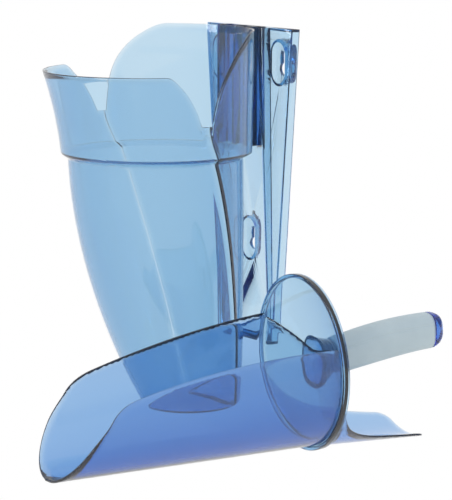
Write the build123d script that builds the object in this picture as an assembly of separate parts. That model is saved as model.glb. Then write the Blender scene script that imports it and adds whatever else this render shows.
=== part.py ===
from build123d import *
import math
import os

# A clear plastic scoop with a round hand guard, and the two-part wall holder that it is kept in.
# Millimetres. +Z is up and -Y is the holder's front. The holder is laid out with the wall's
# surface at y = 0 and its own middle plane at x = 0; everything is then shifted together so that
# the origin is at the middle of the whole set's footprint.

WALL = 2.8                  # cup wall
CLEAR = 0.35                # gap between the faces that slide

# wall bracket
BRACKET_BOTTOM = 60.0       # height of its lower end when the cup stands on a table
BRACKET_TOP = 346.0
BRACKET_HALF_TOP = 65.4     # half widths at its two ends
BRACKET_HALF_BOTTOM = 40.0
BRACKET_DEPTH = 9.0         # wall to the face of the plate
BRACKET_WALL = 2.6
RAIL_HALF_TOP = 33.5        # outer faces of the rails
RAIL_HALF_BOTTOM = 39.4
RAIL_WALL = 2.6
RAIL_HEIGHT = 8.2           # above the plate
RAIL_HEIGHT_LOW = 3.6
LIP_BOTTOM = 238.0          # the lips that hold the runner end here
LIP_HALF_GAP = 24.8
LIP_THICK = 2.4
STOP_HEIGHT = 7.0

# keyhole bosses
BOSS_HALF_WIDTH = 10.5
BOSS_HEIGHT = 37.0
BOSS_X = 45.0
BOSS_Z_UPPER = 315.5
BOSS_Z_LOWER = 152.5
KEYHOLE_R = 5.5
KEYHOLE_SLOT_R = 2.6
KEYHOLE_DROP = 5.5          # round part's centre below the boss's centre
KEYHOLE_RISE = 7.5          # slot end's centre above it

# cup
FOOT_R = 43.0
BODY_R = 77.6               # the outer radius that the wall closes in on under the ledge
BODY_TOP = 232.0
BODY_SPAN = 240.0           # height at which it would reach that radius
BODY_FULLNESS = 1.88        # how quickly the wall stands up above the foot
BACK_AT_FOOT = 27.3         # wall to the cup's back, at the foot and under the ledge
BACK_AT_TOP = 31.7
FOOT_ROUND = 5.0
COLLAR_R = 84.7
COLLAR_BOTTOM = 239.0
COLLAR_CENTRE = 108.2       # wall to the collar's axis
CUP_TOP = 347.0
FLARE_SLOPE = 0.055         # the collar leans forward, more and more towards its rim
FLARE_CURVE = 0.0008
FLARE_TOP = 318.0           # and stands straight above this
NOTCH_Z = 269.0
PETAL_TOP = 312.5

# runner on the cup's back
RUNNER_HALF = 28.6
RUNNER_FLANGE = 3.8
RUNNER_STEM_HALF = 23.3
RUNNER_WEB = 2.8
RUNNER_BOTTOM = 240.0

# scoop, in its own frame: origin at the guard's centre, nose to -Y
GUARD_R = 75.0
GUARD_LEAN = 6.0            # degrees, top backwards from square to the trough
GUARD_RIM = 3.3             # the rim's width and its reach to the front and back of the seat
GUARD_FRONT = 2.6
GUARD_BACK = 3.8
GUARD_WALL = 2.6
RIM_ROUND = 1.0
DISH_DEPTH = 11.7
TROUGH_R = 71.5             # outer radius at the guard, and its growth per millimetre backwards
TROUGH_TAPER = 0.1160
TROUGH_WALL = 2.6
NOSE = 241.0
TONGUE = 105.0
TONGUE_TAPER = 0.058        # the knuckle guard's own growth, square to the leaning guard
LEDGE_WALL = 2.4            # the bowl's own back wall, bonded to the guard's dish
SCOOP_X = 169.9
SCOOP_Y = -73.7
SCOOP_YAW = -7.8
SCOOP_ROLL = 3.4

# handle, along the scoop's axis behind the guard
GRIP_START = 33.0
GRIP_END = 125.5
GRIP_WIDTH = 27.0
CORE_WIDTH = 19.0
CORE_BORE = 12.0
CAP_END = 137.5


def prism_x(outline, half=200.0):
    """Solid from an outline drawn in y and z, as deep as needed along x."""
    face = Plane.YZ * make_face(outline)
    return extrude(face, amount=half, both=True)


def prism_y(outline, near, far):
    """Solid from an outline drawn in x and z, between two distances from the wall."""
    face = Plane((0, -near, 0), x_dir=(1, 0, 0), z_dir=(0, -1, 0)) * make_face(outline)
    return extrude(face, amount=far - near)


def box(x0, x1, y0, y1, z0, z1):
    return Pos((x0 + x1) / 2, (y0 + y1) / 2, (z0 + z1) / 2) * Box(x1 - x0, y1 - y0, z1 - z0)


# ---------------------------------------------------------------- wall bracket

def bracket_half(z):
    share = (BRACKET_TOP - z) / (BRACKET_TOP - BRACKET_BOTTOM)
    return BRACKET_HALF_TOP + (BRACKET_HALF_BOTTOM - BRACKET_HALF_TOP) * share


def rail_half(z):
    share = (BRACKET_TOP - z) / (BRACKET_TOP - BRACKET_BOTTOM)
    return RAIL_HALF_TOP + (RAIL_HALF_BOTTOM - RAIL_HALF_TOP) * share


def bracket_outline(inset):
    bottom = BRACKET_BOTTOM + inset
    top = BRACKET_TOP - inset
    corners = [
        (-bracket_half(bottom) + inset, bottom),
        (bracket_half(bottom) - inset, bottom),
        (bracket_half(top) - inset, top),
        (-bracket_half(top) + inset, top),
    ]
    return Polyline(*corners, close=True)


def boss_outline(x, z, grow):
    half = BOSS_HALF_WIDTH + grow
    straight = BOSS_HEIGHT / 2 - BOSS_HALF_WIDTH
    low = (x + half, z - straight)
    high = (x - half, z + straight)
    lines = [
        Line((x - half, z + straight), (x - half, z - straight)),
        ThreePointArc((x - half, z - straight), (x, z - straight - half), low),
        Line(low, (x + half, z + straight)),
        ThreePointArc((x + half, z + straight), (x, z + straight + half), high),
    ]
    return lines


def keyhole(x, z):
    """The round entry and the slot above it, through a boss's floor."""
    bore_axis = Plane((x, 1.0, z - KEYHOLE_DROP), x_dir=(1, 0, 0), z_dir=(0, -1, 0))
    slot_axis = Plane((x, 1.0, z + KEYHOLE_RISE), x_dir=(1, 0, 0), z_dir=(0, -1, 0))
    depth = BRACKET_WALL + 2.0
    entry = extrude(bore_axis * Circle(KEYHOLE_R), amount=depth)
    slot_end = extrude(slot_axis * Circle(KEYHOLE_SLOT_R), amount=depth)
    slot = box(x - KEYHOLE_SLOT_R, x + KEYHOLE_SLOT_R, 1.0 - depth, 1.0, z - KEYHOLE_DROP, z + KEYHOLE_RISE)
    return entry + slot_end + slot


def rail(side):
    """One rail with its lip: tall beside the runner, lower beneath it."""
    bottom = BRACKET_BOTTOM + BRACKET_WALL
    wall = Polyline(
        (side * rail_half(bottom), bottom),
        (side * rail_half(BRACKET_TOP), BRACKET_TOP),
        (side * (rail_half(BRACKET_TOP) - RAIL_WALL), BRACKET_TOP),
        (side * (rail_half(bottom) - RAIL_WALL), bottom),
        close=True,
    )
    lip = Polyline(
        (side * (rail_half(LIP_BOTTOM) - 1.0), LIP_BOTTOM),
        (side * (rail_half(BRACKET_TOP) - 1.0), BRACKET_TOP),
        (side * LIP_HALF_GAP, BRACKET_TOP),
        (side * LIP_HALF_GAP, LIP_BOTTOM),
        close=True,
    )
    front = BRACKET_DEPTH + RAIL_HEIGHT
    shape = prism_y(wall, BRACKET_DEPTH - 1.0, front) + prism_y(lip, front - LIP_THICK, front)
    low_front = BRACKET_DEPTH + RAIL_HEIGHT_LOW
    step = prism_x(Polyline(
        (-front - 1.0, BRACKET_BOTTOM - 1.0),
        (-low_front, BRACKET_BOTTOM - 1.0),
        (-front, LIP_BOTTOM),
        (-front - 1.0, LIP_BOTTOM),
        close=True,
    ))
    return shape - step


def wall_bracket():
    shape = prism_y(bracket_outline(0.0), 0.0, BRACKET_DEPTH)
    shape -= prism_y(bracket_outline(BRACKET_WALL), -1.0, BRACKET_DEPTH - BRACKET_WALL)
    for side in (-1, 1):
        shape += rail(side)
    stop_front = BRACKET_DEPTH + RAIL_HEIGHT_LOW
    half = rail_half(BRACKET_BOTTOM)
    shape += box(-half, half, -stop_front, -BRACKET_DEPTH + 1.0, BRACKET_BOTTOM, BRACKET_BOTTOM + STOP_HEIGHT)
    for x, z in ((-BOSS_X, BOSS_Z_UPPER), (BOSS_X, BOSS_Z_UPPER), (0.0, BOSS_Z_LOWER)):
        shape += prism_y(boss_outline(x, z, BRACKET_WALL), 0.0, BRACKET_DEPTH)
        shape -= prism_y(boss_outline(x, z, 0.0), BRACKET_WALL, BRACKET_DEPTH + 1.0)
        shape -= keyhole(x, z)
    return shape


# ---------------------------------------------------------------- cup

def body_radius(z):
    share = 1.0 - z / BODY_SPAN
    return FOOT_R + (BODY_R - FOOT_R) * (1.0 - share ** BODY_FULLNESS)


def body_centre(z):
    back = BACK_AT_FOOT + (BACK_AT_TOP - BACK_AT_FOOT) * z / BODY_TOP
    return back + body_radius(z)


def flare(z):
    rise = min(z, FLARE_TOP) - COLLAR_BOTTOM
    return FLARE_SLOPE * rise + FLARE_CURVE * rise * rise


def disc(z, centre, radius):
    return Pos(0, -centre, z) * Circle(radius)


def funnel(inset, floor, top):
    """The cup's outer form, or its inner one when inset is the wall's thickness."""
    steps = 5
    heights = [floor + (BODY_TOP - floor) * i / steps for i in range(steps + 1)]
    body = loft([disc(z, body_centre(z), body_radius(z) - inset) for z in heights])
    ledge_low = disc(BODY_TOP, body_centre(BODY_TOP), body_radius(BODY_TOP) - inset)
    ledge_high = disc(COLLAR_BOTTOM, COLLAR_CENTRE, COLLAR_R - inset)
    ledge = loft([ledge_low, ledge_high], ruled=True)
    heights = [COLLAR_BOTTOM + (top - COLLAR_BOTTOM) * i / 3 for i in range(4)]
    collar = loft([disc(z, COLLAR_CENTRE + flare(z), COLLAR_R + flare(z) - inset) for z in heights])
    return body, ledge, collar


def rim_outline():
    """Everything under the petal rim, seen from the side, y against z."""
    axis = -COLLAR_CENTRE
    front = axis - 140.0
    petal = Spline((axis - 45.0, PETAL_TOP), (axis - 32.0, 303.5), (axis - 19.5, 288.0), (axis - 10.5, NOTCH_Z),
                   tangents=[(1, 0), (0.25, -1)])
    wing = Spline((axis + 1.0, NOTCH_Z), (axis + 14.8, 315.0), (axis + 35.3, 337.0), (axis + 57.0, CUP_TOP),
                  tangents=[(0.1, 1), (1, 0)])
    return [
        Line((front, PETAL_TOP), (axis - 45.0, PETAL_TOP)),
        petal,
        Line((axis - 10.5, NOTCH_Z), (axis + 1.0, NOTCH_Z)),
        wing,
        Line((axis + 57.0, CUP_TOP), (20.0, CUP_TOP)),
        Line((20.0, CUP_TOP), (20.0, -10.0)),
        Line((20.0, -10.0), (front, -10.0)),
        Line((front, -10.0), (front, PETAL_TOP)),
    ]


def seam_outline():
    """Everything in front of the joint between the cup's two shells, seen from the side."""
    start = -COLLAR_CENTRE - 2.0
    seam = Spline((start, NOTCH_Z), (-97.0, 232.0), (-80.0, 172.0), (-64.0, 97.0), (-48.0, -10.0),
                  tangents=[(0.05, -1), (0.2, -1)])
    return [
        Line((start, 400.0), (start, NOTCH_Z)),
        seam,
        Line((-48.0, -10.0), (-300.0, -10.0)),
        Line((-300.0, -10.0), (-300.0, 400.0)),
        Line((-300.0, 400.0), (start, 400.0)),
    ]


def cup_outside():
    body, ledge, collar = funnel(0.0, 0.0, CUP_TOP + 2.0)
    foot = body.edges().group_by(Axis.Z)[0]
    body = fillet(foot, FOOT_ROUND)
    return body + ledge + collar


def cup_shells():
    outside = cup_outside()
    body, ledge, collar = funnel(WALL, WALL, CUP_TOP + 4.0)
    shell = (outside - body - ledge - collar) & prism_x(rim_outline())
    front_space = prism_x(seam_outline())
    return outside, shell & front_space, shell - front_space


def cup_runner(outside):
    """Flange in the bracket's rails, carried by two webs and a middle rib on the collar's back."""
    back = BRACKET_DEPTH + 1.2
    front = back + RUNNER_FLANGE
    reach = COLLAR_CENTRE - COLLAR_R + 8.0
    shape = box(-RUNNER_HALF, RUNNER_HALF, -front, -back, RUNNER_BOTTOM, CUP_TOP)
    for x in (-RUNNER_STEM_HALF, -RUNNER_WEB / 2, RUNNER_STEM_HALF - RUNNER_WEB):
        shape += box(x, x + RUNNER_WEB, -reach, -front + 1.0, RUNNER_BOTTOM, CUP_TOP)
    return shape - outside


# ---------------------------------------------------------------- scoop

def cone_r(y):
    return TROUGH_R + TROUGH_TAPER * y


def spin(outline):
    """Solid of revolution about the scoop's axis from an outline in radius and y."""
    return revolve(make_face(outline), axis=Axis.Y)


def cone_wall(front, back, taper=TROUGH_TAPER):
    front_r = TROUGH_R + taper * front
    back_r = TROUGH_R + taper * back
    return spin(Polyline(
        (front_r - TROUGH_WALL, front),
        (front_r, front),
        (back_r, back),
        (back_r - TROUGH_WALL, back),
        close=True,
    ))


def leaned(shape):
    """From the guard's own frame to the scoop's."""
    return Rot(X=-GUARD_LEAN) * shape


DISH_R = (TROUGH_R ** 2 + DISH_DEPTH ** 2) / (2 * DISH_DEPTH)
DISH_CENTRE = DISH_DEPTH - DISH_R


def dish_y(radius, offset=0.0):
    """Where the dish's front face lies, or a face behind it."""
    return DISH_CENTRE + math.sqrt((DISH_R + offset) ** 2 - radius ** 2)


def dish_ball(offset):
    return Pos(0, DISH_CENTRE, 0) * Sphere(DISH_R + offset)


def hand_guard():
    """Dish and rim, in the guard's own frame."""
    inner = GUARD_R - GUARD_RIM
    front_edge = inner + 0.2
    back_edge = inner + 0.9
    outline = [
        ThreePointArc((0, dish_y(0)), (36, dish_y(36)), (inner, dish_y(inner))),
        Line((inner, dish_y(inner)), (front_edge, -GUARD_FRONT)),
        Line((front_edge, -GUARD_FRONT), (GUARD_R, -GUARD_FRONT)),
        Line((GUARD_R, -GUARD_FRONT), (GUARD_R, GUARD_BACK)),
        Line((GUARD_R, GUARD_BACK), (back_edge, GUARD_BACK)),
        Line((back_edge, GUARD_BACK), (back_edge, dish_y(back_edge, GUARD_WALL))),
        ThreePointArc((back_edge, dish_y(back_edge, GUARD_WALL)), (36, dish_y(36, GUARD_WALL)),
                      (0, dish_y(0, GUARD_WALL))),
        Line((0, dish_y(0, GUARD_WALL)), (0, dish_y(0))),
    ]
    shape = spin(outline)
    round_over = shape.edges().filter_by(GeomType.CIRCLE).filter_by(lambda e: e.radius > GUARD_R - 0.1)
    return fillet(round_over, RIM_ROUND)


def bowl_outline():
    """The bowl from the side: its top edge, rounded corner and slanted mouth."""
    corner = (-189.5, 19.7)
    return [
        ThreePointArc((20.0, 26.2), (-95.0, 30.3), corner),
        ThreePointArc(corner, (-215.5, -11.0), (-NOSE, cone_r(-NOSE) * -1.0 - 0.2)),
        Line((-NOSE, -cone_r(-NOSE) - 0.2), (-NOSE, -120.0)),
        Line((-NOSE, -120.0), (20.0, -120.0)),
        Line((20.0, -120.0), (20.0, 26.2)),
    ]


def scoop_trough():
    side = make_face(bowl_outline())
    corner = side.vertices().sort_by(lambda v: abs(v.X + 189.5) + abs(v.Y - 19.7))[0]
    side = fillet(corner, 16.0)
    side_space = extrude(Plane.YZ * side, amount=200.0, both=True)
    wall = cone_wall(-NOSE, 20.0) & side_space
    inside = TROUGH_R - 1.3
    back_wall = dish_ball(0.0) - dish_ball(-LEDGE_WALL)
    back_wall &= spin(Polyline((0, -10), (inside, -10), (inside, 20), (0, 20), close=True))
    edge = Polyline((-80, 25), (0, 9), (80, 25), (80, -90), (-80, -90), close=True)
    back_wall = leaned(back_wall & prism_y(edge, -30.0, 20.0))
    return (wall & leaned(dish_ball(0.0))) + back_wall


def knuckle_guard():
    """Tongue under the handle, in the guard's own frame."""
    edge = Spline((70.5, 0.0), (55.0, 18.0), (46.5, 35.0), (38.5, 72.0), (35.5, 93.0),
                  tangents=[(-0.75, 1), (-0.12, 1)])
    half = [
        edge,
        ThreePointArc((35.5, 93.0), (32.0, 101.0), (24.0, TONGUE)),
        Line((24.0, TONGUE), (-24.0, TONGUE)),
        ThreePointArc((-24.0, TONGUE), (-32.0, 101.0), (-35.5, 93.0)),
        Spline((-35.5, 93.0), (-38.5, 72.0), (-46.5, 35.0), (-55.0, 18.0), (-70.5, 0.0),
               tangents=[(-0.12, -1), (-0.75, -1)]),
        Line((-70.5, 0.0), (70.5, 0.0)),
    ]
    plan = extrude(Pos(0, 0, -100) * make_face(half), amount=90.0)
    return (cone_wall(-5.0, TONGUE + 10.0, TONGUE_TAPER) & plan) - dish_ball(GUARD_WALL)


def handle_section(y, centre, width, height):
    plane = Plane((0, y, centre), x_dir=(1, 0, 0), z_dir=(0, -1, 0))
    return plane * RectangleRounded(width, height, width * 0.46)


HANDLE_LINE = ((GRIP_START, -1.5, 30.5), (62.0, 0.4, 32.6), (95.0, 1.0, 32.2), (GRIP_END, -0.6, 30.6))


def handle_bar(width, slimmer, start=0, end=4):
    """Bar along the slightly arched handle line; slimmer is taken off its height."""
    return loft([handle_section(y, centre, width, height - slimmer)
                 for y, centre, height in HANDLE_LINE[start:end]])


def handle_core():
    flare_sections = [
        handle_section(8.0, -3.3, 44.0, 52.0),
        handle_section(22.0, -2.8, 30.0, 37.0),
        handle_section(GRIP_START, HANDLE_LINE[0][1], GRIP_WIDTH - 1.0, 29.5),
    ]
    root = loft(flare_sections)
    hollow = loft([
        handle_section(6.0, -3.3, 38.5, 46.5),
        handle_section(22.0, -2.8, 24.5, 31.5),
        handle_section(GRIP_START - 2.0, HANDLE_LINE[0][1], CORE_BORE + 2.0, 18.0),
    ])
    shape = root - hollow + handle_bar(CORE_WIDTH, 8.0)
    bore = handle_bar(CORE_BORE, 15.5, 1, 4)
    return shape - bore - leaned(dish_ball(GUARD_WALL))


def soft_grip():
    return handle_bar(GRIP_WIDTH, 0.0) - handle_bar(CORE_WIDTH, 8.0)


def handle_end_cap():
    dome = loft([
        handle_section(GRIP_END, HANDLE_LINE[3][1], GRIP_WIDTH - 0.2, 30.4),
        handle_section(131.5, 0.0, 24.6, 27.4),
        handle_section(CAP_END, 2.0, 15.0, 17.0),
    ])
    dome = fillet(dome.edges().group_by(Axis.Y)[-1], 2.0)
    plug_height = HANDLE_LINE[3][2] - 17.5
    plug = extrude(handle_section(GRIP_END, HANDLE_LINE[3][1], CORE_BORE - 1.0, plug_height), amount=8.0)
    return dome + plug


# ---------------------------------------------------------------- layout

def scoop_place():
    """The scoop lies on its guard's rim and the tip of its nose."""
    lean = math.radians(GUARD_LEAN)
    rim_drop = GUARD_R * math.cos(lean)
    rim_y = -GUARD_R * math.sin(lean)
    tilt = math.degrees(math.atan((rim_drop - cone_r(-NOSE)) / (NOSE + rim_y)))
    return Rot(Z=SCOOP_YAW) * Rot(X=tilt) * Rot(Y=SCOOP_ROLL)


def build():
    outside, front_shell, back_shell = cup_shells()
    nodes = {
        "wall_bracket": wall_bracket(),
        "cup_front_shell": front_shell,
        "cup_back_shell": back_shell,
        "cup_runner": cup_runner(outside),
    }
    scoop = {
        "scoop_trough": scoop_trough(),
        "hand_guard": leaned(hand_guard()),
        "knuckle_guard": leaned(knuckle_guard()),
        "handle_core": handle_core(),
        "soft_grip": soft_grip(),
        "handle_end_cap": handle_end_cap(),
    }
    turned = {name: scoop_place() * shape for name, shape in scoop.items()}
    lowest = min(shape.bounding_box().min.Z for shape in turned.values())
    for name, shape in turned.items():
        nodes[name] = Pos(SCOOP_X, SCOOP_Y, -lowest) * shape
    boxes = [shape.bounding_box() for shape in nodes.values()]
    middle_x = (min(b.min.X for b in boxes) + max(b.max.X for b in boxes)) / 2
    middle_y = (min(b.min.Y for b in boxes) + max(b.max.Y for b in boxes)) / 2
    return {name: Pos(-middle_x, -middle_y, 0) * shape for name, shape in nodes.items()}, middle_x, middle_y, -lowest


os.makedirs("parts", exist_ok=True)
parts, shift_x, shift_y, guard_height = build()
for node, solid in parts.items():
    export_step(solid, f"parts/{node}.step")
print("wall plane and middle plane moved by", round(-shift_x, 3), round(-shift_y, 3), "guard centre", round(guard_height, 3))
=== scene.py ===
import math

import bmesh
import bpy
import numpy as np
from mathutils import Euler, Matrix, Vector
from mathutils.geometry import delaunay_2d_cdt
from mathutils.kdtree import KDTree


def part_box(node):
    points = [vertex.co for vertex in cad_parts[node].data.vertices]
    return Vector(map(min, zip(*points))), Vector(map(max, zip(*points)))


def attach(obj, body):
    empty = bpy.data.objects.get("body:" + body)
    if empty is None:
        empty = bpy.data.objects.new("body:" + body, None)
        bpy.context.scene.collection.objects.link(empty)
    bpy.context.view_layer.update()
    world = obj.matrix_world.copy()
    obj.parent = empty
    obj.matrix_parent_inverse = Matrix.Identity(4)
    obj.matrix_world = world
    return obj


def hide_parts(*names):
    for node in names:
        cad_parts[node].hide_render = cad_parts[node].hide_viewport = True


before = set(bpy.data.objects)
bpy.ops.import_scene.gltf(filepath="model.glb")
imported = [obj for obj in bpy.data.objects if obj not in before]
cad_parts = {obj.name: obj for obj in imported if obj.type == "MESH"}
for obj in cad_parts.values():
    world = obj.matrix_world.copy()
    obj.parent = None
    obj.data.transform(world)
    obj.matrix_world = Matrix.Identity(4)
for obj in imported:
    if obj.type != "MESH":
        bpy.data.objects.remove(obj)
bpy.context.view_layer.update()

MM = 0.001

# The holder's own frame, in millimetres: x from its middle plane, d from the wall, z from the
# table.
bracket_low, bracket_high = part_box("wall_bracket")
HOLDER = Vector(((bracket_low.x + bracket_high.x) / 2, bracket_high.y, 0.0))

CUP_WALL = 2.8
CUP_GAP = 0.06
FOOT_R = 43.0
FOOT_ROUND = 5.0
FOOT_START = 6.5
BODY_R = 77.6
BODY_SPAN = 240.0
BODY_FULLNESS = 1.88
BODY_TOP = 232.0
BACK_FOOT = 27.3
BACK_RISE = 4.4
COLLAR_BOTTOM = 239.0
COLLAR_CENTRE = 108.2
COLLAR_R = 84.7
LEDGE_LOW = 233.5
LEDGE_HIGH = 239.6
FLARE_TOP = 318.0
NOTCH_Z = 269.0
PETAL_TOP = 312.5
CUP_TOP = 347.0
RIM_START = COLLAR_BOTTOM + 4.0

# The scoop's own frame, in millimetres: origin at the guard's centre, nose to -y. The guard and
# the knuckle guard lean back in it.
SCOOP_AT = (169.9, 73.7, 75.02)
SCOOP_YAW = -7.8
SCOOP_ROLL = 3.4
GUARD_LEAN = 6.0
GUARD_R = 75.0
GUARD_RIM = 3.3
GUARD_FRONT = 2.6
GUARD_BACK = 3.8
GUARD_WALL = 2.6
TROUGH_R = 71.5
TROUGH_TAPER = 0.116
TROUGH_WALL = 2.6
NOSE = 241.0
TONGUE = 105.0
TONGUE_TAPER = 0.058
DISH_DEPTH = 11.7
DISH_R = (TROUGH_R ** 2 + DISH_DEPTH ** 2) / (2 * DISH_DEPTH)
DISH_CENTRE = DISH_DEPTH - DISH_R
BACK_WALL = 2.4
GAP = 0.1

# A cone is unrolled as angle times this radius, whatever its own.
UNROLL_R = 60.0
# A rounded lip stands out from a sheet's edge by this share of half the wall.
LIP_REACH = 0.6
# The scoop's sheets end about that much short of the CAD's square edges.
EDGE_INSET = 0.8

# The scoop rests on its nose and on the guard's rim, which gives its tilt.
lean = math.radians(GUARD_LEAN)
nose_drop = GUARD_R * math.cos(lean) - TROUGH_R + TROUGH_TAPER * NOSE
tilt = math.atan(nose_drop / (NOSE - GUARD_R * math.sin(lean)))
turn = (
    Euler((0, 0, math.radians(SCOOP_YAW))).to_matrix()
    @ Euler((tilt, 0, 0)).to_matrix()
    @ Euler((0, math.radians(SCOOP_ROLL), 0)).to_matrix()
)
guard_centre = HOLDER + Vector((SCOOP_AT[0], -SCOOP_AT[1], SCOOP_AT[2])) * MM
SCOOP = Matrix.Translation(guard_centre) @ turn.to_4x4()
GUARD = SCOOP @ Euler((-lean, 0, 0)).to_matrix().to_4x4()


# ------------------------------------------------------------------ mesh helpers

def holder_points(x, d, z):
    """Holder millimetres to row metres."""
    return np.stack([HOLDER.x + x * MM, HOLDER.y - d * MM, z * MM], axis=-1)


def scoop_points(x, y, z, base=SCOOP):
    """Scoop or guard millimetres to row metres."""
    local = np.stack(np.broadcast_arrays(x, y, z), axis=-1) * MM
    return local @ np.array(base.to_3x3()).T + np.array(base.translation)


def round_corners(points, radii, steps=5):
    """A flat open path with its inner corners rounded."""
    points = np.array(points, float)
    path = [points[0]]
    for before, at, after, radius in zip(points, points[1:], points[2:], radii):
        back = (before - at) / np.linalg.norm(before - at)
        on = (after - at) / np.linalg.norm(after - at)
        start, end = at + back * radius, at + on * radius
        for t in np.linspace(0, 1, steps):
            path.append((1 - t) ** 2 * start + 2 * t * (1 - t) * at + t ** 2 * end)
    path.append(points[-1])
    return np.array(path)


def smooth_path(points, start, end, count=24):
    """Points along a smooth curve through a few, with given directions at its two ends."""
    points = np.array(points, float)
    gaps = np.linalg.norm(np.diff(points, axis=0), axis=1)
    slopes = np.zeros_like(points)
    slopes[0] = np.array(start) / np.linalg.norm(start)
    slopes[-1] = np.array(end) / np.linalg.norm(end)
    for i in range(1, len(points) - 1):
        before = (points[i] - points[i - 1]) / gaps[i - 1]
        after = (points[i + 1] - points[i]) / gaps[i]
        slopes[i] = (before * gaps[i] + after * gaps[i - 1]) / (gaps[i] + gaps[i - 1])
    t = np.linspace(0, 1, count, endpoint=False)[:, None]
    curve = []
    for i, gap in enumerate(gaps):
        a, b = points[i], points[i + 1]
        ta, tb = slopes[i] * gap, slopes[i + 1] * gap
        curve.append(
            (2 * t ** 3 - 3 * t ** 2 + 1) * a + (t ** 3 - 2 * t ** 2 + t) * ta
            + (3 * t ** 2 - 2 * t ** 3) * b + (t ** 3 - t ** 2) * tb
        )
    curve.append(points[-1:])
    return np.concatenate(curve)


def even_steps(path, step):
    """The same path with evenly spaced points."""
    run = np.concatenate([[0], np.cumsum(np.linalg.norm(np.diff(path, axis=0), axis=1))])
    count = max(2, int(run[-1] / step) + 1)
    at = np.linspace(0, run[-1], count)
    return np.stack([np.interp(at, run, path[:, k]) for k in range(path.shape[1])], axis=1)


def edge_spacing(count, hold):
    """Positions from 0 to 1, with one more close to each end to hold the rounded edge."""
    inner = np.linspace(0, 1, count)[1:-1]
    return np.concatenate([[0, hold], inner, [1 - hold, 1]])


def weld(points, faces):
    """Joins points that share a place and drops the faces that this closes up."""
    places = np.round(points, 7)
    _, first, where = np.unique(places, axis=0, return_index=True, return_inverse=True)
    where = where.reshape(-1)
    joined = []
    for face in faces:
        ring = []
        for v in face:
            w = int(where[v])
            if w not in ring:
                ring.append(w)
        if len(ring) > 2:
            joined.append(tuple(ring))
    return points[first], joined


def grid_faces(rows, cols):
    """Four-sided faces over a grid of points numbered row by row."""
    faces = []
    for i in range(rows - 1):
        for j in range(cols - 1):
            a, b = i * cols + j, i * cols + j + 1
            faces.append((a, b, b + cols, a + cols))
    return faces


def point_normals(points, faces):
    """Each point's normal, from the areas of the faces round it."""
    normals = np.zeros_like(points)
    for face in faces:
        ring = points[list(face)]
        centre = ring.mean(axis=0)
        area = np.zeros(3)
        for k in range(len(face)):
            area += np.cross(ring[k] - centre, ring[(k + 1) % len(face)] - centre)
        for v in face:
            normals[v] += area
    return normals / np.linalg.norm(normals, axis=1)[:, None]


def border_loops(faces):
    """Rings of points round a sheet's open borders, each with the sheet on its left."""
    edges = set()
    for face in faces:
        for k in range(len(face)):
            edges.add((face[k], face[(k + 1) % len(face)]))
    follow = {a: b for a, b in edges if (b, a) not in edges}
    loops = []
    while follow:
        start, at = follow.popitem()
        ring = [start]
        while at != start:
            ring.append(at)
            at = follow.pop(at)
        loops.append(ring)
    return loops


def make_piece(name, points, faces, material, body, nodes):
    """One mesh piece, faces outwards, that rides on a body and stands for CAD nodes."""
    mesh = bpy.data.meshes.new(name)
    mesh.from_pydata([tuple(p) for p in points], [], faces)
    mesh.validate()
    solid = bmesh.new()
    solid.from_mesh(mesh)
    if solid.calc_volume(signed=True) < 0:
        bmesh.ops.reverse_faces(solid, faces=solid.faces)
        solid.to_mesh(mesh)
    solid.free()
    mesh.shade_smooth()
    piece = bpy.data.objects.new(name, mesh)
    bpy.context.scene.collection.objects.link(piece)
    mesh.materials.append(material)
    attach(piece, body)
    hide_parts(*nodes)


def thicken(points, faces, wall, fuller=None, lip_steps=5, edge_share=0.6, edge_run=5.0):
    """A sheet made into a wall: a second skin inside it and a rounded lip round each border.

    At its borders the wall has edge_share of its thickness, and all of it edge_run millimetres
    in. The function fuller gives a further share at each point.
    """
    points, faces = weld(points, faces)
    normals = point_normals(points, faces)
    loops = border_loops(faces)
    rim = KDTree(sum(len(ring) for ring in loops))
    for v in (v for ring in loops for v in ring):
        rim.insert(Vector(points[v]), v)
    rim.balance()
    away = np.array([rim.find(Vector(p))[2] for p in points]) / (edge_run * MM)
    ease = np.clip(away, 0, 1)
    share = edge_share + (1 - edge_share) * ease * ease * (3 - 2 * ease)
    if fuller:
        share = share * fuller(points)
    half = (wall * MM / 2 * share)[:, None]
    inner = points - normals * 2 * half
    count = len(points)
    all_points = [points, inner]
    all_faces = list(faces) + [tuple(v + count for v in reversed(face)) for face in faces]
    base = 2 * count
    for ring in loops:
        at = points[ring]
        n = normals[ring]
        thin = half[ring]
        along = np.roll(at, -1, axis=0) - np.roll(at, 1, axis=0)
        out = np.cross(along, n)
        out /= np.linalg.norm(out, axis=1)[:, None]
        rings = [list(ring)]
        for k in range(1, lip_steps):
            angle = math.pi * k / lip_steps
            level = at - n * thin + n * thin * math.cos(angle)
            all_points.append(level + out * thin * LIP_REACH * math.sin(angle))
            rings.append([base + i for i in range(len(ring))])
            base += len(ring)
        rings.append([v + count for v in ring])
        for upper, lower in zip(rings, rings[1:]):
            for i in range(len(ring)):
                j = (i + 1) % len(ring)
                all_faces.append((upper[j], upper[i], lower[i], lower[j]))
    return np.concatenate(all_points), all_faces


def inside_outline(points, outline):
    """Whether each flat point is inside a closed outline."""
    inside = np.zeros(len(points), bool)
    x, y = points[:, 0], points[:, 1]
    for (xa, ya), (xb, yb) in zip(outline, np.roll(outline, -1, axis=0)):
        crosses = (ya > y) != (yb > y)
        with np.errstate(divide="ignore", invalid="ignore"):
            meet = (xb - xa) * (y - ya) / (yb - ya) + xa
        inside ^= crosses & (x < meet)
    return inside


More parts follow.
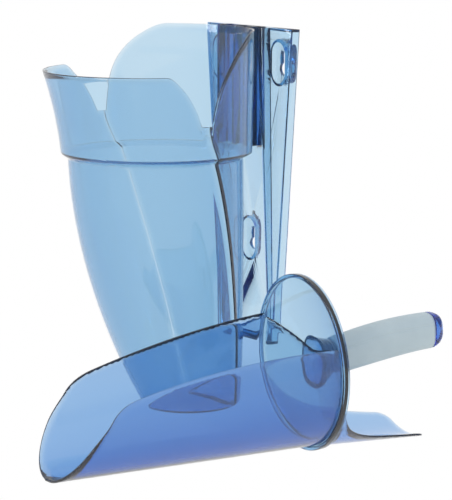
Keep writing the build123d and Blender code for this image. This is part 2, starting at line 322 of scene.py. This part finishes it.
def fill_outline(outline, step):
    """Triangles over a flat outline, evenly spaced inside it."""
    row_share, edge_share = 0.866, 0.62
    low, high = outline.min(axis=0), outline.max(axis=0)
    rows = np.arange(low[1], high[1], step * row_share)
    lattice = []
    for i, y in enumerate(rows):
        x = np.arange(low[0] + (i % 2) * step / 2, high[0], step)
        lattice.append(np.stack([x, np.full_like(x, y)], axis=1))
    lattice = np.concatenate(lattice)
    lattice = lattice[inside_outline(lattice, outline)]
    gap = np.min(np.linalg.norm(lattice[:, None, :] - outline[None, :, :], axis=2), axis=1)
    lattice = lattice[gap > step * edge_share]
    flat = np.concatenate([outline, lattice])
    ring = list(range(len(outline)))
    result = delaunay_2d_cdt([Vector(p) for p in flat], [], [ring], 1, 1e-6)
    return np.array([tuple(p) for p in result[0]]), [tuple(f) for f in result[2]]


# ------------------------------------------------------------------ materials

def new_material(name):
    material = bpy.data.materials.new(name)
    material.use_nodes = True
    return material, material.node_tree, material.node_tree.nodes["Principled BSDF"]


def add_noise(tree, scale, detail):
    """A noise's value, in the piece's own coordinates."""
    coords = tree.nodes.new("ShaderNodeTexCoord")
    noise = tree.nodes.new("ShaderNodeTexNoise")
    noise.inputs["Scale"].default_value = scale
    noise.inputs["Detail"].default_value = detail
    tree.links.new(coords.outputs["Object"], noise.inputs["Vector"])
    return noise.outputs["Fac"]


def add_roughness(tree, shader, value, low, high, start=0.0, end=1.0):
    """Roughness from low to high as a value goes from start to end."""
    rough = tree.nodes.new("ShaderNodeMapRange")
    rough.inputs["From Min"].default_value = start
    rough.inputs["From Max"].default_value = end
    rough.inputs["To Min"].default_value = low
    rough.inputs["To Max"].default_value = high
    tree.links.new(value, rough.inputs["Value"])
    tree.links.new(rough.outputs["Result"], shader.inputs["Roughness"])


def add_bump(tree, shader, height, strength, distance):
    bump = tree.nodes.new("ShaderNodeBump")
    bump.inputs["Strength"].default_value = strength
    bump.inputs["Distance"].default_value = distance
    tree.links.new(height, bump.inputs["Height"])
    tree.links.new(bump.outputs["Normal"], shader.inputs["Normal"])


def clear_blue(name, density, tint, roughness=0.012):
    """Transparent plastic whose colour comes from the length of the light's way through it.

    Faint waves left by the mould and a slight haze from handling vary its gloss.
    """
    material, tree, shader = new_material(name)
    shader.inputs["Base Color"].default_value = (1, 1, 1, 1)
    shader.inputs["Transmission Weight"].default_value = 0.97
    shader.inputs["IOR"].default_value = 1.50
    haze = add_noise(tree, 24.0, 5.0)
    add_roughness(tree, shader, haze, roughness, roughness + 0.012, 0.4, 0.75)
    waves = add_noise(tree, 16.0, 0.5)
    add_bump(tree, shader, waves, 0.2, 0.0005)
    volume = tree.nodes.new("ShaderNodeVolumeAbsorption")
    volume.inputs["Color"].default_value = (*tint, 1)
    volume.inputs["Density"].default_value = density
    tree.links.new(volume.outputs["Volume"], tree.nodes["Material Output"].inputs["Volume"])
    return material


def grip_rubber():
    """Matt pale grey-green elastomer with a fine moulded grain and faint handling marks."""
    material, tree, shader = new_material("grip_rubber")
    cloud = add_noise(tree, 38.0, 4.0)
    ramp = tree.nodes.new("ShaderNodeValToRGB")
    dark, light = ramp.color_ramp.elements
    dark.position, dark.color = 0.3, (0.46, 0.55, 0.57, 1)
    light.position, light.color = 0.7, (0.52, 0.61, 0.62, 1)
    tree.links.new(cloud, ramp.inputs["Fac"])
    tree.links.new(ramp.outputs["Color"], shader.inputs["Base Color"])
    add_roughness(tree, shader, cloud, 0.42, 0.55)
    grain = add_noise(tree, 1400.0, 2.0)
    add_bump(tree, shader, grain, 0.12, 0.0002)
    return material


CLEAR = clear_blue("clear_blue", 265.0, (0.15, 0.57, 0.81))
SCOOP_CLEAR = clear_blue("clear_blue_scoop", 430.0, (0.15, 0.52, 0.84))
RUNNER_CLEAR = clear_blue("clear_blue_runner", 520.0, (0.13, 0.48, 0.84))
CAP_BLUE = clear_blue("cap_blue", 130.0, (0.05, 0.50, 0.90), 0.06)
GRIP = grip_rubber()


# ------------------------------------------------------------------ cup

def cup_flare(z):
    """How far the collar has grown outwards at a height."""
    rise = np.clip(z, COLLAR_BOTTOM, FLARE_TOP) - COLLAR_BOTTOM
    return 0.055 * rise + 0.0008 * rise ** 2


def cup_ring(z):
    """Distance from the wall of the cup's axis, and its outer radius, at a height."""
    z = np.asarray(z, float)
    share = np.clip(1.0 - np.minimum(z, BODY_TOP) / BODY_SPAN, 0, 1)
    body_r = FOOT_R + (BODY_R - FOOT_R) * (1.0 - share ** BODY_FULLNESS)
    body_c = BACK_FOOT + BACK_RISE * np.minimum(z, BODY_TOP) / BODY_TOP + body_r
    step = np.clip((z - LEDGE_LOW) / (LEDGE_HIGH - LEDGE_LOW), 0, 1)
    step = step * step * (3 - 2 * step)
    collar_r = COLLAR_R + cup_flare(z)
    collar_c = COLLAR_CENTRE + cup_flare(z)
    return body_c + (collar_c - body_c) * step, body_r + (collar_r - body_r) * step


# The joint between the shells as (z, d), and their rims as (d, z), both from the notch between
# wing and petal.
SEAM = smooth_path(
    [(NOTCH_Z, 110.2), (BODY_TOP, 97), (172, 80), (97, 64), (-10, 48)], (-1, -0.05), (-1, -0.2))
WING = smooth_path(
    [(107.2, NOTCH_Z), (93.4, 315), (72.9, 337), (51.2, CUP_TOP)], (-0.1, 1), (-1, 0))
PETAL = smooth_path(
    [(118.7, NOTCH_Z), (127.7, 288), (140.2, 303.5), (153.2, PETAL_TOP)], (0.25, 1), (1, 0))


def seam_distance(z):
    return np.interp(z, SEAM[::-1, 0], SEAM[::-1, 1])


def back_rim(d):
    return np.interp(d, WING[::-1, 0], WING[::-1, 1])


def front_rim(d):
    return np.interp(d, PETAL[:, 0], PETAL[:, 1])


def cup_grid(side, rim):
    """The outer skin of the back (-1) or front (+1) shell as a grid, rim first and floor last."""
    lip = CUP_WALL * LIP_REACH / 2
    columns = edge_spacing(150, 0.0015)
    level = np.ones_like(columns)

    def across(z, cut=0.0):
        """The skin's x and d at a height, one for each column."""
        centre, radius = cup_ring(z)
        at_seam = np.arccos(np.clip((centre - seam_distance(z)) / radius, -1, 1))
        inset = (CUP_GAP + lip) / radius
        if side < 0:
            phi = (at_seam - inset) * (2 * columns - 1)
        else:
            phi = at_seam + inset + (2 * (math.pi - at_seam) - 2 * inset) * columns
        radius = radius - cut
        return radius * np.sin(phi), centre - radius * np.cos(phi)

    # The rim's height in each column, found by halving.
    low = level * RIM_START
    high = level * (CUP_TOP + 1)
    for _ in range(40):
        middle = (low + high) / 2
        above = rim(across(middle)[1]) > middle
        low = np.where(above, middle, low)
        high = np.where(above, high, middle)
    top = low - lip
    rows = []
    for share in edge_spacing(46, 0.004)[::-1][:-1]:
        z = RIM_START + (top - RIM_START) * share
        rows.append(holder_points(*across(z), z))
    heights = np.concatenate([
        np.linspace(RIM_START, BODY_TOP - 1, 26),
        np.linspace(BODY_TOP - 1, FOOT_START, 72)[1:],
    ])
    for z in heights:
        rows.append(holder_points(*across(level * z), level * z))
    for turned in np.linspace(0, math.pi / 2, 9)[1:]:
        z = FOOT_START - FOOT_START * math.sin(turned)
        x, d = across(level * FOOT_START, FOOT_ROUND * (1 - math.cos(turned)))
        rows.append(holder_points(x, d, level * z))
    middle_d = seam_distance(0.0) + side * (CUP_GAP + lip)
    for share in np.linspace(0, 1, 22)[1:]:
        rows.append(holder_points(x * (1 - share), d + (middle_d - d) * share, level * 0.0))
    return np.array(rows)


def add_cup_shell(name, node, side, rim):
    grid = cup_grid(side, rim)
    points, faces = thicken(grid.reshape(-1, 3), grid_faces(*grid.shape[:2]), CUP_WALL)
    make_piece(name, points, faces, CLEAR, "cup", [node])


# ------------------------------------------------------------------ scoop

def dish_y(radius, offset=0.0):
    """The dish's depth at a radius, for a skin that is offset from its front."""
    return DISH_CENTRE + np.sqrt((DISH_R + offset) ** 2 - np.asarray(radius, float) ** 2)


def dish_end(x, z, offset):
    """The scoop's y at which a line along it meets the leaning dish."""
    y = np.zeros_like(x)
    for _ in range(12):
        up = y * math.sin(lean) + z * math.cos(lean)
        y = (dish_y(np.hypot(x, up), offset) + z * math.sin(lean)) / math.cos(lean)
    return y


def cone_sheet(outline, step, taper, base):
    """Fills an unrolled outline, (angle from the bottom times UNROLL_R, y), on a cone."""
    flat, faces = fill_outline(outline, step)
    theta = flat[:, 0] / UNROLL_R
    radius = TROUGH_R + taper * flat[:, 1]
    points = scoop_points(radius * np.sin(theta), flat[:, 1], -radius * np.cos(theta), base)
    return points, outward(points, faces, scoop_points(0.0, flat[:, 1].mean(), 0.0, base))


def outward(points, faces, inside):
    """Faces turned so that they look away from a point inside, in row metres."""
    normals = point_normals(points, faces)
    if np.sum(normals * (points - inside)) < 0:
        return [tuple(reversed(face)) for face in faces]
    return faces


def to_cone(path, taper):
    """Side-view points (y, z) to the unrolled cone."""
    radius = TROUGH_R + taper * path[:, 0]
    theta = np.arccos(np.clip(-path[:, 1] / radius, -1, 1))
    return np.stack([theta * UNROLL_R, path[:, 0]], axis=1)


def trough_side():
    """The bowl's edge from the side: top edge, rounded corner, then the mouth down to the nose."""
    start, length, cut = -2.0, 189.5, 15.0
    run = np.linspace(start, length, 80)
    top = np.stack([-run, 28.26 + 0.0873 * run - 0.0007 * run ** 2], axis=1)
    corner = top[-1]
    nose_y = -NOSE + EDGE_INSET
    nose = (nose_y, -TROUGH_R - TROUGH_TAPER * nose_y)
    mouth = smooth_path([corner, (-215.5, -11.0), nose], (-0.45, -1), (-0.72, -1), 60)
    before = top[np.linalg.norm(top - corner, axis=1) > cut]
    after = mouth[np.linalg.norm(mouth - corner, axis=1) > cut]
    t = np.linspace(0, 1, 14)[1:-1, None]
    bend = (1 - t) ** 2 * before[-1] + 2 * t * (1 - t) * corner + t ** 2 * after[0]
    return np.concatenate([before, bend, after]) - np.array([0, EDGE_INSET])


def closed_outline(side, step, back):
    """A closed outline from one half's points, with a back edge given by its y at each angle."""
    side = side.copy()
    side[-1, 0] = 0.0
    side[0, 1] = back(side[:1, 0])[0]
    side = even_steps(side, step)
    left = side[::-1] * np.array([-1, 1])
    across = np.linspace(-side[0, 0], side[0, 0], int(2 * side[0, 0] / step))[1:-1]
    rear = np.stack([across, back(across)], axis=1)
    return np.concatenate([side, left[1:], rear])


def trough_back(unrolled):
    """The bowl's back end, just short of the guard's dish."""
    short = 0.5
    theta = unrolled / UNROLL_R
    return dish_end(TROUGH_R * np.sin(theta), -TROUGH_R * np.cos(theta), 0.0) - short


def fuller_bottom(points):
    """The bowl's wall is fuller at its bottom than at its top edges."""
    local = (points - np.array(SCOOP.translation)) @ np.array(SCOOP.to_3x3())
    lowness = 0.5 - 0.5 * local[:, 2] / np.hypot(local[:, 0], local[:, 2])
    return 0.8 + 0.8 * lowness ** 1.2


def add_trough():
    outline = closed_outline(to_cone(trough_side(), TROUGH_TAPER), 2.2, trough_back)
    points, faces = cone_sheet(outline, 3.2, TROUGH_TAPER, SCOOP)
    points, faces = thicken(points, faces, TROUGH_WALL, fuller_bottom)
    make_piece("trough", points, faces, SCOOP_CLEAR, "scoop", ["scoop_trough"])


def add_bowl_back():
    """The bowl's own back wall: a dished sheet with a V-shaped top edge."""
    side, top, reach = 66.0, 25.0, 68.3
    edge = np.array([[-side, top], [-9.0, 10.8], [0.0, 9.4], [9.0, 10.8], [side, top]])
    edge = even_steps(edge, 1.8)
    edge = edge[np.hypot(edge[:, 0], edge[:, 1]) < reach - 1.3]
    rise = math.atan2(top, side)
    angles = np.linspace(rise, -math.pi - rise, 150)
    radius = reach - 0.8 * np.clip(-np.sin(angles), 0, 1)
    arc = np.stack([radius * np.cos(angles), radius * np.sin(angles)], axis=1)
    flat, faces = fill_outline(np.concatenate([edge, arc]), 2.6)
    y = dish_y(np.hypot(flat[:, 0], flat[:, 1]), -GAP)
    points = scoop_points(flat[:, 0], y, flat[:, 1], GUARD)
    faces = outward(points, faces, scoop_points(0.0, -60.0, 0.0, GUARD))
    points, faces = thicken(points, faces, BACK_WALL - GAP)
    make_piece("bowl_back_wall", points, faces, CLEAR, "scoop", ["scoop_trough"])


def lathe(profile, base, count=192):
    """A closed body of revolution about y from a profile in radius and y, axis to axis."""
    angles = np.linspace(0, 2 * math.pi, count, endpoint=False)
    radius = np.where(profile[:, :1] < 1e-6, 0.0, profile[:, :1])
    y = np.repeat(profile[:, 1:], count, axis=1)
    grid = scoop_points(radius * np.cos(angles), y, radius * np.sin(angles), base)
    faces = []
    for i in range(len(profile) - 1):
        for j in range(count):
            k = (j + 1) % count
            faces.append((i * count + j, i * count + k, (i + 1) * count + k, (i + 1) * count + j))
    points, faces = weld(grid.reshape(-1, 3), faces)
    return points, outward(points, faces, scoop_points(0.0, 1.0, 0.0, base))


def guard_profile():
    """Dish and rim in radius and y: out along the front, round the rim, and back to the axis."""
    inner = GUARD_R - GUARD_RIM
    step = inner + 0.9
    front = [(r, float(dish_y(r))) for r in np.linspace(0, inner - 0.6, 40)]
    back = [(r, float(dish_y(r, GUARD_WALL))) for r in np.linspace(step - 1.2, 0, 40)]
    corners = [
        (inner, float(dish_y(inner))),
        (inner + 0.2, -GUARD_FRONT),
        (GUARD_R, -GUARD_FRONT),
        (GUARD_R, GUARD_BACK),
        (step, GUARD_BACK),
        (step, float(dish_y(step, GUARD_WALL))),
    ]
    rim = round_corners([front[-1], *corners, back[0]], [0.35, 0.8, 1.3, 1.3, 0.7, 0.45], 7)
    return np.concatenate([front, rim[1:-1], back])


def add_guard():
    points, faces = lathe(guard_profile(), GUARD)
    make_piece("guard", points, faces, CLEAR, "scoop", ["hand_guard"])


def tongue_side():
    """Half the knuckle guard's edge, from the guard to its tip, unrolled on its cone."""
    tip_half, tip_corner, tip_start = 35.5, 11.5, 93.0
    edge = smooth_path(
        [(70.5, 0.0), (55.0, 18.0), (46.5, 35.0), (38.5, 72.0), (tip_half, tip_start)],
        (-0.75, 1), (-0.12, 1))
    turned = np.linspace(0, math.pi / 2, 14)[1:]
    across = tip_half - tip_corner + tip_corner * np.cos(turned)
    along = tip_start + (TONGUE - tip_start) * np.sin(turned)
    plan = np.concatenate([edge, np.stack([across, along], axis=1), [(0.0, TONGUE)]])
    plan = even_steps(plan, 1.0) - np.array([0.5, EDGE_INSET])
    plan = plan[plan[:, 1] > 3.2]
    radius = TROUGH_R + TONGUE_TAPER * plan[:, 1]
    theta = np.arcsin(np.clip(plan[:, 0] / radius, 0, 1))
    return np.stack([theta * UNROLL_R, plan[:, 1]], axis=1)


def add_tongue():
    side = tongue_side()
    outline = closed_outline(side, 1.8, lambda unrolled: np.full_like(unrolled, side[0, 1]))
    points, faces = cone_sheet(outline, 3.0, TONGUE_TAPER, GUARD)
    points, faces = thicken(points, faces, TROUGH_WALL)
    make_piece("tongue", points, faces, SCOOP_CLEAR, "scoop", ["knuckle_guard"])


# ------------------------------------------------------------------ handle

ROUND = 128
TURN = np.linspace(0, 2 * math.pi, ROUND, endpoint=False)
CORE_END = 125.2
GRIP_START = 33.2
GRIP_WIDTH = 27.0
GRIP_SLANT = 1.6
CAP_START = 125.4
CAP_LENGTH = 11.4

# The handle's y, middle height and overall height at four places, and smooth curves through them.
HANDLE_LINE = np.array(
    [(33.0, -1.5, 30.5), (62.0, 0.4, 32.6), (95.0, 1.0, 32.2), (125.5, -0.6, 30.6)])
MIDDLE = np.polyfit(HANDLE_LINE[:, 0], HANDLE_LINE[:, 1], 3)
HEIGHT = np.polyfit(HANDLE_LINE[:, 0], HANDLE_LINE[:, 2], 3)


def bar_at(y):
    """Middle height and overall height of the handle at y."""
    return float(np.polyval(MIDDLE, y)), float(np.polyval(HEIGHT, y))


def section(y, centre, width, height, fullness=2.7):
    """A rounded handle section as (x, y, z) rows."""
    cos, sin = np.cos(TURN), np.sin(TURN)
    x = np.sign(cos) * np.abs(cos) ** (2 / fullness) * width / 2
    z = np.sign(sin) * np.abs(sin) ** (2 / fullness) * height / 2 + centre
    return np.stack([x, np.full_like(x, y), z], axis=1)


def sleeve(rings, closed):
    """Joins rings into a closed skin: end to start when hollow, or with a cap at each end."""
    points = np.concatenate(rings)
    faces = []
    pairs = list(zip(range(len(rings)), range(1, len(rings))))
    if closed:
        pairs.append((len(rings) - 1, 0))
    for a, b in pairs:
        for j in range(ROUND):
            k = (j + 1) % ROUND
            faces.append((a * ROUND + j, a * ROUND + k, b * ROUND + k, b * ROUND + j))
    world = scoop_points(points[:, 0], points[:, 1], points[:, 2])
    return weld(world, faces)


def at_dish(ring, offset):
    """The ring's points carried along the handle on to the guard's back."""
    moved = ring.copy()
    moved[:, 1] = dish_end(ring[:, 0], ring[:, 2], GUARD_WALL) + offset
    return moved


def close_ring(ring):
    """A ring's middle, repeated, to close a skin to a point."""
    return np.repeat(ring.mean(axis=0)[None, :], ROUND, axis=0)


def core_rings():
    """The hollow root, from its inside out and along the bar, then back down the bar's bore."""
    hollow = [
        close_ring(section(30.5, -1.5, 1.0, 1.0, 2.0)),
        section(30.0, -1.6, 12.5, 17.0, 2.4),
        section(23.0, -2.7, 24.0, 30.5),
        at_dish(section(17.0, -3.2, 32.5, 40.0), GAP),
    ]
    wide = smooth_path([(15.0, 36.0), (23.0, 29.2), (32.9, 25.8)], (1, -1.2), (1, -0.25), 8)
    tall = smooth_path([(15.0, 43.5), (23.0, 36.0), (32.9, 29.2)], (1, -1.4), (1, -0.4), 8)
    outer = [at_dish(section(15.0, -3.2, 38.0, 45.5), GAP)]
    for i, ((y, width), (_, height)) in enumerate(zip(wide, tall)):
        share = i / len(wide)
        outer.append(section(y + 2.0 * (1 - share), -3.2 + 1.7 * i / len(wide), width, height))
    for y in np.linspace(34.0, CORE_END, 12):
        centre, height = bar_at(y)
        outer.append(section(y, centre, 18.8, height - 8.2, 2.4))
    bore = []
    for y in np.linspace(CORE_END, 62.0, 8):
        centre, height = bar_at(y)
        bore.append(section(y, centre, 12.0, height - 15.5, 2.2))
    bore.append(close_ring(section(60.0, bar_at(60.0)[0], 1.0, 1.0, 2.0)))
    return hollow + outer + bore


def add_core():
    points, faces = sleeve(core_rings(), False)
    faces = outward(points, faces, scoop_points(0.0, 62.0, 2.0))
    make_piece(
        "handle_core_clear", points, faces, SCOOP_CLEAR, "scoop", ["handle_core"])


def grip_ring(y, inset, slant=0.0):
    """The grip's section at y, with the fine moulding line along each side."""
    line_at, line_width, line_depth, line_fade = 0.42, 0.045, 0.55, 4.0
    centre, height = bar_at(min(y, CAP_START))
    ring = section(y, centre, GRIP_WIDTH - 2 * inset, height - 2 * inset)
    ring[:, 1] += slant * np.sin(TURN)
    groove = np.zeros(ROUND)
    for line in (line_at, math.pi - line_at):
        groove += np.exp(-((TURN - line) / line_width) ** 2)
    spread = np.clip((y - 33.0) / line_fade, 0, 1) * np.clip((126.0 - y) / line_fade, 0, 1)
    out = ring - np.array([0, 0, centre]) - np.array([0, 1, 0]) * ring
    out /= np.linalg.norm(out, axis=1)[:, None]
    return ring - out * (groove * spread * line_depth)[:, None]


def grip_rings():
    """The sleeve's outside, with rounded ends, then its inside round the bar."""
    rings = [grip_ring(GRIP_START, 3.0)]
    for turned in np.linspace(0, math.pi / 2, 6):
        y = GRIP_START + 1.2 * (1 - math.cos(turned))
        rings.append(grip_ring(y, 1.2 * (1 - math.sin(turned))))
    for y in np.linspace(35.5, 123.0, 44):
        rings.append(grip_ring(y, 0.0, GRIP_SLANT * max(0.0, (y - 100.0) / 23.0)))
    for turned in np.linspace(math.pi / 2, 0, 6):
        inset = 0.9 * (1 - math.sin(turned))
        rings.append(grip_ring(CORE_END - inset, inset, GRIP_SLANT))
    rings.append(grip_ring(CORE_END, 3.0, GRIP_SLANT))
    for y in (125.0, 110.0, 95.0, 78.0, 62.0, 48.0, 34.4):
        centre, height = bar_at(y)
        rings.append(section(y, centre, 19.0, height - 8.0, 2.4))
    return rings


def add_grip():
    points, faces = sleeve(grip_rings(), True)
    faces = outward(points, faces, scoop_points(0.0, 80.0, 2.0))
    make_piece("grip", points, faces, GRIP, "scoop", ["soft_grip"])


def cap_rings():
    """A rounded end whose front face follows the grip's slanted end."""
    tiny = 0.001
    rings = []
    for share in (0.0, 0.5, 0.92, 1.0):
        ring = section(CAP_START, -0.6, 26.6 * share + tiny, 30.2 * share + tiny)
        ring[:, 1] += GRIP_SLANT * np.sin(TURN) * share
        rings.append(ring)
    rings[0] = close_ring(rings[0])
    for turned in np.linspace(0.08, math.pi / 2, 16):
        bulge, rise = math.cos(turned) ** 0.62, math.sin(turned)
        y, centre = CAP_START + 0.6 + CAP_LENGTH * rise, -0.6 + 1.6 * rise ** 2
        ring = section(y, centre, 26.8 * bulge + tiny, 30.4 * bulge + tiny)
        ring[:, 1] += GRIP_SLANT * np.sin(TURN) * (1 - rise)
        rings.append(ring)
    rings[-1] = close_ring(rings[-1])
    return rings


def add_end_cap():
    points, faces = sleeve(cap_rings(), False)
    faces = outward(points, faces, scoop_points(0.0, 130.0, 2.0))
    make_piece("end_cap", points, faces, CAP_BLUE, "scoop", ["handle_end_cap"])


# ------------------------------------------------------------------ bracket and runner

# Where the runner's webs have left its flange, in millimetres from the wall.
RUNNER_STEM = 17.0


def add_softened(node, name, body, material, clear_y=None):
    """A copy of a CAD part's own mesh with its edges rounded over.

    What is in front of clear_y is drawn back a little, to clear the shell that it touches.
    """
    clearance, bevel_width, sharp = 0.15 * MM, 0.45 * MM, math.radians(35)
    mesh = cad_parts[node].data.copy()
    work = bmesh.new()
    work.from_mesh(mesh)
    work.transform(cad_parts[node].matrix_world)
    bmesh.ops.remove_doubles(work, verts=work.verts, dist=1e-6)
    flat = math.radians(0.5)
    bmesh.ops.dissolve_limit(work, angle_limit=flat, verts=work.verts, edges=work.edges)
    if clear_y is not None:
        for vert in work.verts:
            if vert.co.y < clear_y:
                vert.co.y += clearance
    work.to_mesh(mesh)
    work.free()
    mesh.name = name
    mesh.materials.clear()
    mesh.materials.append(material)
    rough = bpy.data.objects.new(name + "_sharp", mesh)
    bpy.context.scene.collection.objects.link(rough)
    bevel = rough.modifiers.new("edges", "BEVEL")
    bevel.width = bevel_width
    bevel.segments = 3
    bevel.angle_limit = sharp
    bevel.harden_normals = True
    graph = bpy.context.evaluated_depsgraph_get()
    rounded = bpy.data.meshes.new_from_object(rough.evaluated_get(graph))
    rounded.name = name
    bpy.data.objects.remove(rough)
    rounded.shade_smooth()
    piece = bpy.data.objects.new(name, rounded)
    bpy.context.scene.collection.objects.link(piece)
    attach(piece, body)
    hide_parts(node)


# ------------------------------------------------------------------ floor, light and camera

# The level direction that the camera looks in, and the one across it.
AHEAD = (-0.822, 0.569)
ACROSS = (0.569, 0.822)
CAMERA_AT = (1.6244, -1.1581, 0.4776)
CAMERA_DOWN = 9.6
LENS = 175.2212389


def add_floor():
    """A lit white table, just below the object: it takes no shadow, as in the cut-out photo."""
    bpy.ops.mesh.primitive_plane_add(size=60.0, location=(0, 0, -0.4 * MM))
    floor = bpy.context.object
    floor.name = "floor"
    material, _, shader = new_material("floor")
    shader.inputs["Base Color"].default_value = (0, 0, 0, 1)
    shader.inputs["Specular IOR Level"].default_value = 0.0
    shader.inputs["Emission Color"].default_value = (1, 1, 1, 1)
    shader.inputs["Emission Strength"].default_value = 1.0
    floor.data.materials.append(material)


def add_world():
    """White, falling to blue at both ends of a level line across the set."""
    world = bpy.data.worlds.new("studio")
    bpy.context.scene.world = world
    world.use_nodes = True
    tree = world.node_tree
    coords = tree.nodes.new("ShaderNodeTexCoord")
    across = tree.nodes.new("ShaderNodeVectorMath")
    across.operation = "DOT_PRODUCT"
    across.inputs[1].default_value = (*ACROSS, 0.0)
    tree.links.new(coords.outputs["Generated"], across.inputs[0])
    both = tree.nodes.new("ShaderNodeMath")
    both.operation = "ABSOLUTE"
    tree.links.new(across.outputs["Value"], both.inputs[0])
    sides = tree.nodes.new("ShaderNodeValToRGB")
    white, blue = sides.color_ramp.elements
    white.position, white.color = 0.5, (1, 1, 1, 1)
    blue.position, blue.color = 0.9, (0.30, 0.48, 0.88, 1)
    tree.links.new(both.outputs["Value"], sides.inputs["Fac"])
    tree.links.new(sides.outputs["Color"], tree.nodes["Background"].inputs["Color"])


def add_panel(name, place, target, size, power):
    """A soft rectangular light, placed and aimed from the holder's foot, in metres and watts."""
    light = bpy.data.lights.new(name, "AREA")
    light.shape = "RECTANGLE"
    light.size, light.size_y = size
    light.energy = power
    lamp = bpy.data.objects.new(name, light)
    lamp.location = HOLDER + Vector(place)
    aim = HOLDER + Vector(target) - lamp.location
    lamp.rotation_euler = aim.to_track_quat("-Z", "Y").to_euler()
    bpy.context.scene.collection.objects.link(lamp)


def add_camera():
    camera = bpy.data.cameras.new("camera")
    camera.sensor_fit = "HORIZONTAL"
    camera.sensor_width = 36.0
    camera.lens = LENS
    camera.clip_end = 20.0
    eye = bpy.data.objects.new("camera", camera)
    eye.location = HOLDER + Vector(CAMERA_AT)
    down = math.radians(CAMERA_DOWN)
    look = Vector((AHEAD[0] * math.cos(down), AHEAD[1] * math.cos(down), -math.sin(down)))
    eye.rotation_euler = look.to_track_quat("-Z", "Y").to_euler()
    bpy.context.scene.collection.objects.link(eye)
    bpy.context.scene.camera = eye


# ------------------------------------------------------------------ the whole set

add_cup_shell("cup_back", "cup_back_shell", -1, back_rim)
add_cup_shell("cup_front", "cup_front_shell", 1, front_rim)
add_trough()
add_bowl_back()
add_guard()
add_tongue()
add_core()
add_grip()
add_end_cap()
add_softened("wall_bracket", "bracket", "bracket", CLEAR)
add_softened("cup_runner", "runner", "cup", RUNNER_CLEAR, HOLDER.y - RUNNER_STEM * MM)
add_floor()
add_world()
add_panel("left_panel", (-0.9, -2.2, 0.9), (0.1, -0.1, 0.1), (0.5, 1.2), 14.0)
add_camera()
scene = bpy.context.scene
scene.view_settings.view_transform = "Standard"
scene.cycles.max_bounces = 32
scene.cycles.transmission_bounces = 32
scene.cycles.glossy_bounces = 8
